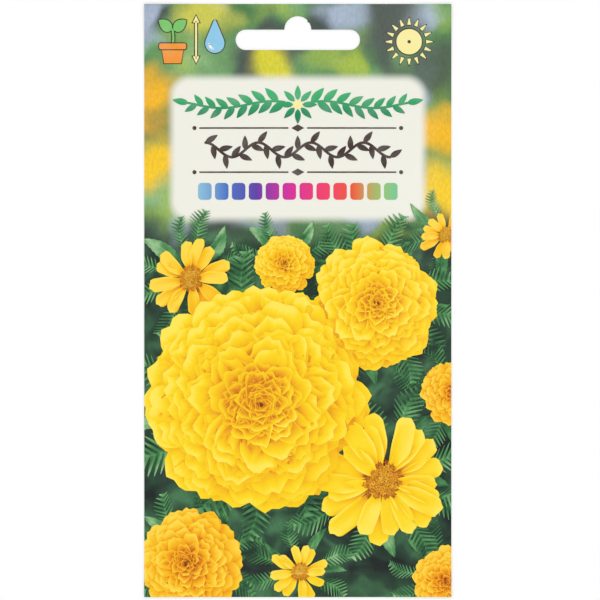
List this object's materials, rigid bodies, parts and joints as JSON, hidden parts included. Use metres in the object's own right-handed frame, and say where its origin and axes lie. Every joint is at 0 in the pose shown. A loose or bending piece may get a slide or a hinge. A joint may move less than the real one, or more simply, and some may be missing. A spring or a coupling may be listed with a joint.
{
  "type": "seed packet",
  "caption": "Flat seed packet of two sealed laminated paper sheets with a printed front, a hanging slot in the header and loose seeds inside.",
  "frame": {"origin": "middle of the packet's underside, on the surface that it lies on", "axes": "+Z out of the printed front, +Y towards the slotted header, +X to the right when the front is read"},
  "size_m": [0.08, 0.1544, 0.0026],
  "materials": {
    "printed_paper": "gloss laminated print",
    "plain_paper": "satin laminated print",
    "seed_coat": "dry matt"
  },
  "bodies": {
    "root": {"front_sheet": "printed_paper", "back_sheet": "plain_paper", "seeds": "seed_coat"}
  },
  "joints": []
}
